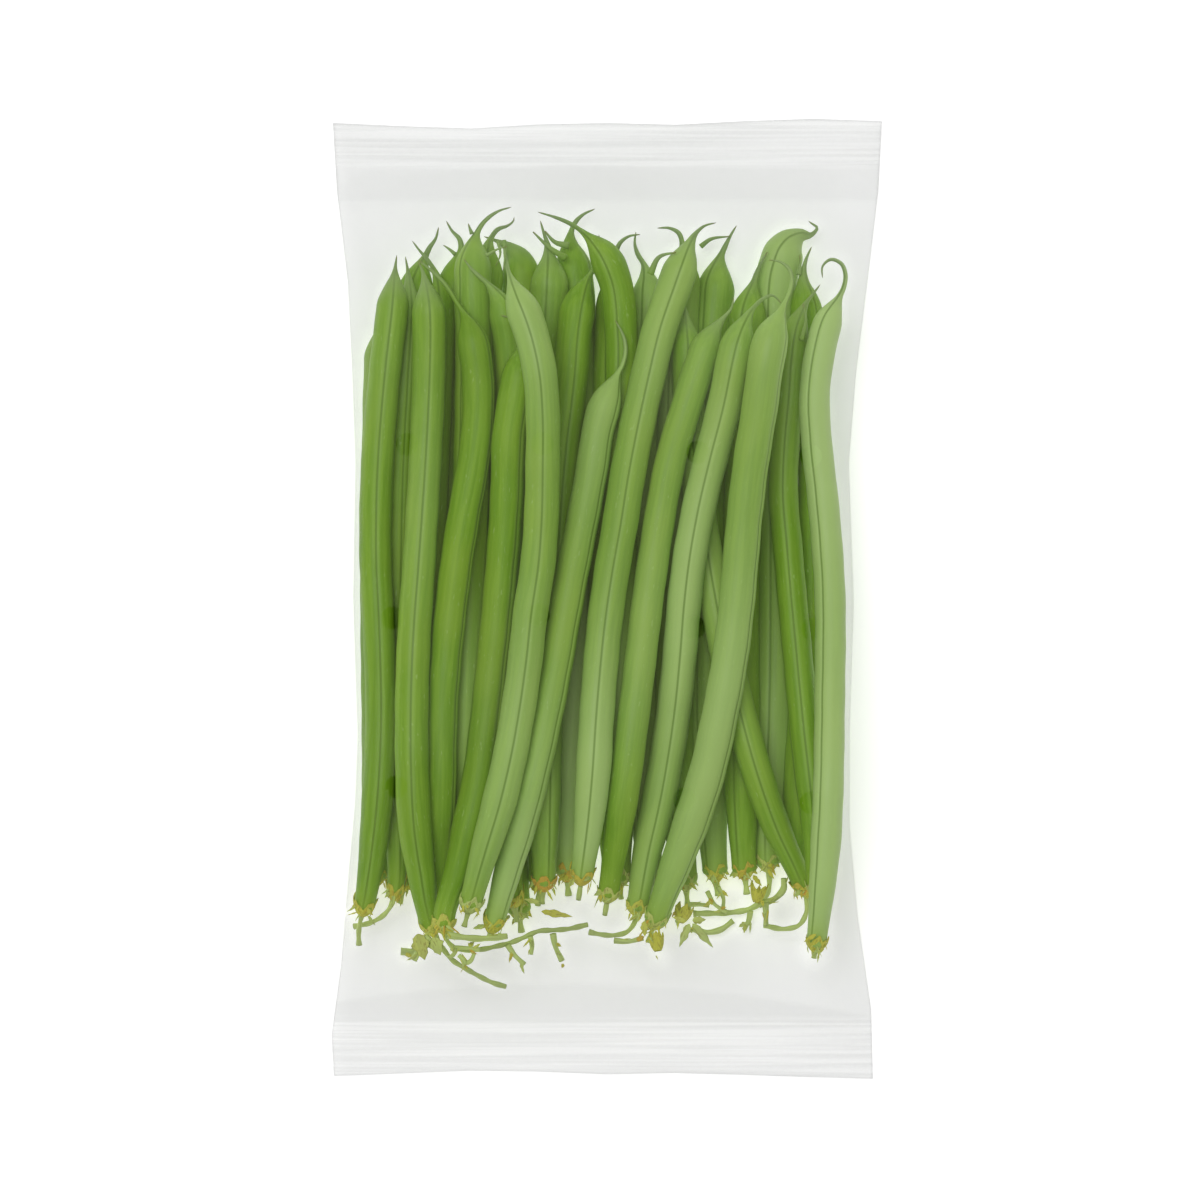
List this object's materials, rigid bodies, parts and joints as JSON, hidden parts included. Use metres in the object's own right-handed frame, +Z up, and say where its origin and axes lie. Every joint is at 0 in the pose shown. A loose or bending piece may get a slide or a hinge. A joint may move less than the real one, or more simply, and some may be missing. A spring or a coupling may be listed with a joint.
{
  "type": "bagged green bean bundle",
  "caption": "Clear film pillow bag with crimped end seals and round vents, lying on its back, filled with whole green beans laid side by side.",
  "frame": {"origin": "on the surface the bag lies on, under the middle of its bounding box", "axes": "+X across the bag, +Y along the beans from the stalk ends to the tails, +Z up out of the bag's front film"},
  "size_m": [0.1213, 0.2118, 0.0358],
  "materials": {
    "clear_film": "gloss",
    "bean_dark": "satin",
    "bean_green": "satin",
    "bean_light": "satin"
  },
  "bodies": {
    "root": {"film_bag": "clear_film", "bean_back_01": "bean_dark", "bean_back_02": "bean_dark", "bean_back_03": "bean_dark", "bean_back_04": "bean_dark", "bean_back_05": "bean_dark", "bean_back_06": "bean_dark", "bean_back_07": "bean_dark", "bean_back_08": "bean_dark", "bean_back_09": "bean_dark", "bean_back_10": "bean_dark", "bean_back_11": "bean_dark", "bean_back_12": "bean_dark", "bean_back_13": "bean_dark", "bean_back_14": "bean_dark", "bean_middle_01": "bean_green", "bean_middle_02": "bean_green", "bean_middle_03": "bean_green", "bean_middle_04": "bean_green", "bean_middle_05": "bean_green", "bean_middle_06": "bean_green", "bean_middle_07": "bean_green", "bean_front_01": "bean_light", "bean_front_02": "bean_light", "bean_front_03": "bean_light", "bean_front_04": "bean_light", "bean_front_05": "bean_light", "bean_front_06": "bean_light", "bean_front_07": "bean_light", "bean_front_08": "bean_light", "bean_front_09": "bean_light", "bean_front_10": "bean_light", "bean_front_11": "bean_light", "bean_front_12": "bean_light"}
  },
  "joints": []
}
